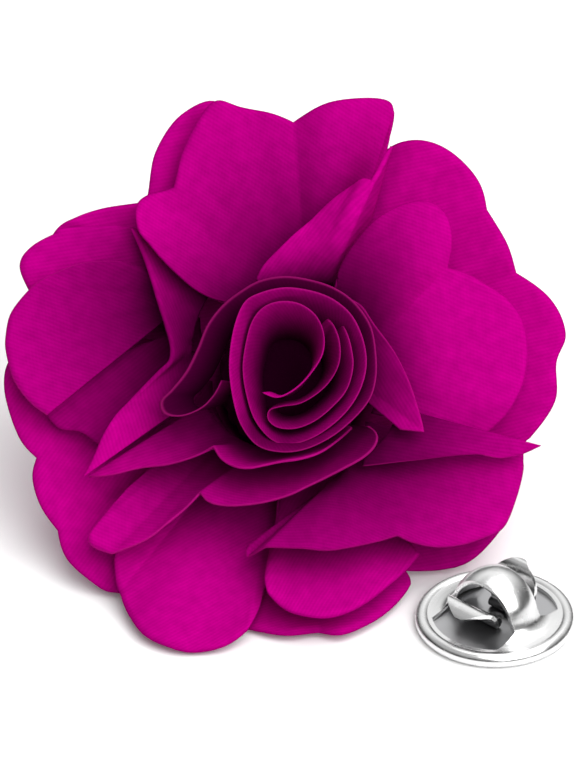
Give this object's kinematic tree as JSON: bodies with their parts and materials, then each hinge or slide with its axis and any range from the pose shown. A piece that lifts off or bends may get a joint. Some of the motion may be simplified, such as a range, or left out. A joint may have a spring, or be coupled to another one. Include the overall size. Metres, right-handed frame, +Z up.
{
  "type": "flower lapel pin with its clutch",
  "caption": "Cloth flower of folded scalloped petals round a rolled rosette, on a pad with a pointed post, with its round butterfly clutch standing beside it.",
  "frame": {"origin": "bottom centre of the box round the whole part, on the surface that the flower and its clutch lie on", "axes": "+X to the right and +Y away from the viewer who looks into the flower, +Z up"},
  "size_m": [0.0428, 0.037, 0.0287],
  "materials": {
    "cloth": "fine twill with a soft sheen",
    "pin_metal": "satin",
    "clutch_metal": "polished"
  },
  "bodies": {
    "pin": {"petal_back": "cloth", "petal_left_upper": "cloth", "petal_left_lower": "cloth", "petal_left_tuck": "cloth", "petal_left": "cloth", "petal_bottom_left": "cloth", "petal_bottom": "cloth", "petal_bottom_right": "cloth", "petal_top": "cloth", "petal_right": "cloth", "petal_spike": "cloth", "petal_leaf": "cloth", "petal_front": "cloth", "petal_collar_lower": "cloth", "petal_collar_right": "cloth", "petal_top_fold": "cloth", "sewn_core": "cloth", "rosette_coil": "cloth", "rosette_heart": "cloth", "pin_post": "pin_metal", "clutch_cover": "clutch_metal", "clutch_plate": "clutch_metal"},
    "lever_left": {"clutch_lever_left": "clutch_metal"},
    "lever_right": {"clutch_lever_right": "clutch_metal"}
  },
  "joints": [
    {"name": "lever_left_squeeze", "type": "hinge", "parent": "pin", "child": "lever_left", "pos_m": [0.01477, -0.01331, 0.00113], "axis": [-0.7547, 0.6561, 0], "range_deg": [0, 8], "stiffness_Nm_per_rad": 0.02},
    {"name": "lever_right_squeeze", "type": "hinge", "parent": "pin", "child": "lever_right", "pos_m": [0.01609, -0.01179, 0.00113], "axis": [0.7547, -0.6561, 0], "range_deg": [0, 8], "stiffness_Nm_per_rad": 0.02}
  ]
}
